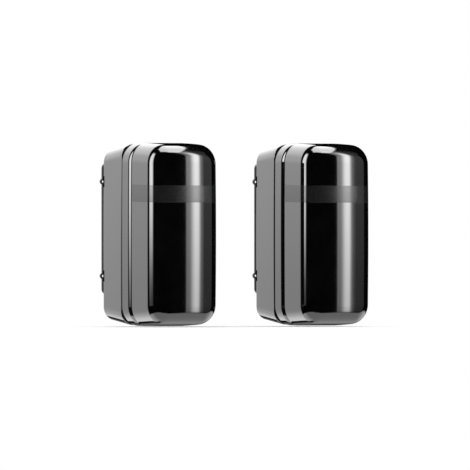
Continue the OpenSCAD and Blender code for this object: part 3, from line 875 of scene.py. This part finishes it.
def front_box(sky, x, y, z, height):
    """Narrow upright soft box in front: a bright core within a dimmer body and a faint tail."""
    lean = sky.plus(x, sky.times(sky.times(z, z), right_lean))
    body = sky.times(sky.window(lean, *body_window), body_level)
    core = sky.times(sky.window(lean, *core_window), core_level)
    core = sky.times(core, sky.rise(height, *core_top_span))
    tail = sky.times(sky.window(lean, *tail_window), tail_level)
    top = sky.times(sky.rise(height, *top_span), top_level)
    base = sky.times(sky.rise(height, *base_span), base_level)
    dimmer = sky.times(sky.plus(body, tail), sky.plus(sky.plus(top, base), body_least))
    sink = sky.plus(sink_level, sky.times(sky.rise(height, *horizon), sink_more))
    box = sky.times(sky.plus(core, dimmer), sink)
    return sky.times(box, sky.rise(y, *right_front_span))


def overhead_box(sky, x, y, z):
    """Soft box overhead, as seen by its pitch about the X axis and its distance along X."""
    pitch = sky.angle(z, y)
    low = sky.plus(overhead_low, sky.times(sky.math("MAXIMUM", x, 0), -overhead_low_slope))
    high = sky.plus(overhead_high, sky.times(x, overhead_high_slope))
    above = sky.rise(sky.plus(pitch, sky.times(low, -1)), -overhead_soft, overhead_soft)
    below = sky.rise(sky.plus(pitch, sky.times(high, -1)), overhead_soft, -overhead_soft)
    off = sky.plus(pitch, -overhead_middle)
    edge = sky.plus(sky.plus(x, -overhead_right), sky.times(sky.times(off, off), overhead_curve))
    ends = sky.times(sky.rise(edge, *overhead_right_span), sky.rise(x, *overhead_left_span))
    return sky.times(sky.times(above, below), sky.times(ends, sky.rise(z, *overhead_rise_span)))


def light_studio():
    """World of the studio: white to the camera, lights to the gloss, plain pale light to the rest."""
    world = bpy.data.worlds.new("studio")
    bpy.context.scene.world = world
    world.use_nodes = True
    tree = world.node_tree
    tree.nodes.clear()
    sky = Sky(tree)
    place = tree.nodes.new("ShaderNodeTexCoord")
    split = tree.nodes.new("ShaderNodeSeparateXYZ")
    tree.links.new(place.outputs["Generated"], split.inputs[0])
    x, y, z = (split.outputs[i] for i in range(3))
    ray = tree.nodes.new("ShaderNodeLightPath")
    glossy = ray.outputs["Is Glossy Ray"]
    seen = sky.math("MAXIMUM", ray.outputs["Is Camera Ray"], ray.outputs["Is Transmission Ray"])
    plain = sky.plus(plain_level, sky.times(z, plain_slope))
    to_gloss = sky.times(studio_brightness(sky, x, y, z), glossy)
    to_rest = sky.times(plain, sky.math("SUBTRACT", 1, glossy))
    lit = sky.times(sky.plus(to_gloss, to_rest), sky.math("SUBTRACT", 1, seen))
    background = tree.nodes.new("ShaderNodeBackground")
    background.inputs["Color"].default_value = (1, 1, 1, 1)
    sky.feed(background, "Strength", sky.plus(lit, seen))
    output = tree.nodes.new("ShaderNodeOutputWorld")
    tree.links.new(background.outputs[0], output.inputs["Surface"])


def hang_lamp():
    """One broad soft lamp above the pair that gives the shadow its direction."""
    clear_selection()
    bpy.ops.object.light_add(type="AREA", location=lamp_place)
    lamp = bpy.context.object
    lamp.name = "soft_lamp"
    lamp.data.shape = "DISK"
    lamp.data.size = lamp_width
    lamp.data.energy = lamp_power
    lamp.rotation_mode = "QUATERNION"
    lamp.rotation_quaternion = lamp.location.to_track_quat("Z", "Y")
    lamp.visible_glossy = False
    lamp.visible_camera = False


def set_camera():
    """Long camera at the photograph's angle, level with the middle of the units."""
    back = Vector((math.sin(view_turn), -math.cos(view_turn), 0))
    clear_selection()
    bpy.ops.object.camera_add(location=aim + back * camera_distance)
    camera = bpy.context.object
    camera.name = "camera"
    camera.rotation_mode = "QUATERNION"
    camera.rotation_quaternion = back.to_track_quat("Z", "Y")
    camera.data.sensor_width = sensor_width
    camera.data.lens = sensor_width * camera_distance / frame_width
    bpy.context.scene.camera = camera


def main():
    """Makes the dressed pair, its studio and its camera."""
    looks = {name: finish_look(name, **look) for name, look in LOOKS.items()}
    looks["cover_gloss"] = looks["case_black"] = gloss_black()
    looks["band_satin"] = satin_band()
    looks["lens_clear"] = clear_lens()
    set_camera()
    dress_solids(looks)
    model_pieces(looks)
    model_floor()
    light_studio()
    hang_lamp()
    bpy.context.scene.view_settings.view_transform = "Standard"


main()
